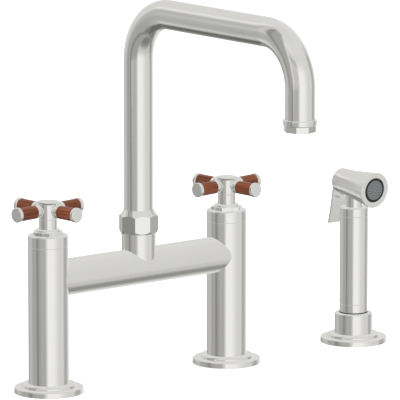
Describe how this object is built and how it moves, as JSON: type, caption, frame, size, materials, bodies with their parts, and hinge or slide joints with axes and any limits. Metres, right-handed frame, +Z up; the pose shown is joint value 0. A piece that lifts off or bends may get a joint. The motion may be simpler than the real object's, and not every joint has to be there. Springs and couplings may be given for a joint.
{
  "type": "bridge kitchen faucet",
  "caption": "Bridge kitchen faucet with cross handles that have wooden grips, a squared swivel spout and a pull-out side spray with a paddle lever.",
  "frame": {"origin": "on the deck plane, midway between the two columns, under the spout's riser", "axes": "+Z up from the deck, +X along the row from the left column to the side spray, -Y the way the spout reaches over the sink"},
  "size_m": [0.4249, 0.2778, 0.4086],
  "materials": {
    "nickel": "polished nickel plate on brass",
    "brass": "machined, unplated",
    "steel": "stainless, plain",
    "wood": "oiled reddish hardwood",
    "rubber": "matt black",
    "ceramic": "lapped ceramic",
    "acetal": "natural white",
    "nozzle": "grey, moulded"
  },
  "bodies": {
    "faucet": {"left_flange": "nickel", "right_flange": "nickel", "spray_flange": "nickel", "deck_gaskets": "rubber", "threaded_shanks": "brass", "steel_washers": "steel", "mounting_nuts": "brass", "left_column": "nickel", "right_column": "nickel", "left_column_cap": "nickel", "right_column_cap": "nickel", "bridge_tube": "nickel", "spout_socket": "nickel", "spout_nut": "nickel", "thrust_washer": "acetal", "left_bonnet": "nickel", "right_bonnet": "nickel", "left_cartridge": "brass", "right_cartridge": "brass", "fixed_discs": "ceramic", "diverter_body": "acetal", "diverter_spring": "steel", "spray_holder": "nickel", "holder_liner": "rubber"},
    "left_handle": {"left_moving_disc": "ceramic", "left_stem": "brass", "left_skirt": "nickel", "left_hub": "nickel", "left_arm_rods": "nickel", "left_wood_grips": "wood", "left_handle_caps": "nickel", "left_handle_screw": "steel"},
    "right_handle": {"right_moving_disc": "ceramic", "right_stem": "brass", "right_skirt": "nickel", "right_hub": "nickel", "right_arm_rods": "nickel", "right_wood_grips": "wood", "right_handle_caps": "nickel", "right_handle_screw": "steel"},
    "spout": {"spout_tube": "nickel", "spout_foot": "brass", "spout_seals": "rubber", "retaining_ring": "steel", "spout_collar": "nickel", "aerator_housing": "nickel", "aerator_screen": "acetal"},
    "diverter": {"diverter_piston": "rubber"},
    "hose_end": {"hose_connector": "brass"},
    "spray_handset": {"spray_handle": "nickel", "spray_top_ring": "nickel", "spray_bottom_ring": "nickel", "spray_head": "nickel", "nozzle_ring": "rubber", "nozzle_plate": "nozzle", "lever_pin": "steel", "plunger_spring": "steel"},
    "lever": {"spray_lever": "nickel"},
    "plunger": {"lever_plunger": "steel"}
  },
  "joints": [
    {"name": "left_valve", "type": "hinge", "parent": "faucet", "child": "left_handle", "pos_m": [-0.1016, 0, 0.1639], "axis": [0, 0, 1], "range_deg": [0, 90]},
    {"name": "right_valve", "type": "hinge", "parent": "faucet", "child": "right_handle", "pos_m": [0.1016, 0, 0.1639], "axis": [0, 0, 1], "range_deg": [-90, 0]},
    {"name": "spout_swivel", "type": "hinge", "parent": "faucet", "child": "spout", "pos_m": [0, 0, 0.143], "axis": [0, 0, 1], "continuous": true},
    {"name": "diverter_slide", "type": "slide", "parent": "faucet", "child": "diverter", "axis": [0, 0, 1], "range_m": [0, 0.003], "stiffness_N_per_m": 150, "springref_m": -0.002, "deforming": ["diverter_spring"]},
    {"name": "spray_lift", "type": "slide", "parent": "faucet", "child": "hose_end", "axis": [0, 0, 1], "range_m": [0, 0.06]},
    {"name": "spray_turn", "type": "hinge", "parent": "hose_end", "child": "spray_handset", "pos_m": [0.254, 0, 0.0123], "axis": [0, 0, 1], "continuous": true},
    {"name": "lever_squeeze", "type": "hinge", "parent": "spray_handset", "child": "lever", "pos_m": [0.254, 0.0142, 0.1446], "axis": [-1, 0, 0], "range_deg": [0, 12], "stiffness_Nm_per_rad": 0.3, "springref_deg": -11.46},
    {"name": "plunger_slide", "type": "slide", "parent": "spray_handset", "child": "plunger", "axis": [0, 0, 1], "range_m": [0, 0.0009], "deforming": ["plunger_spring"]}
  ],
  "couplings": [
    {"joint": "plunger_slide", "follows": "lever_squeeze", "m_per_rad": 0.0042}
  ]
}
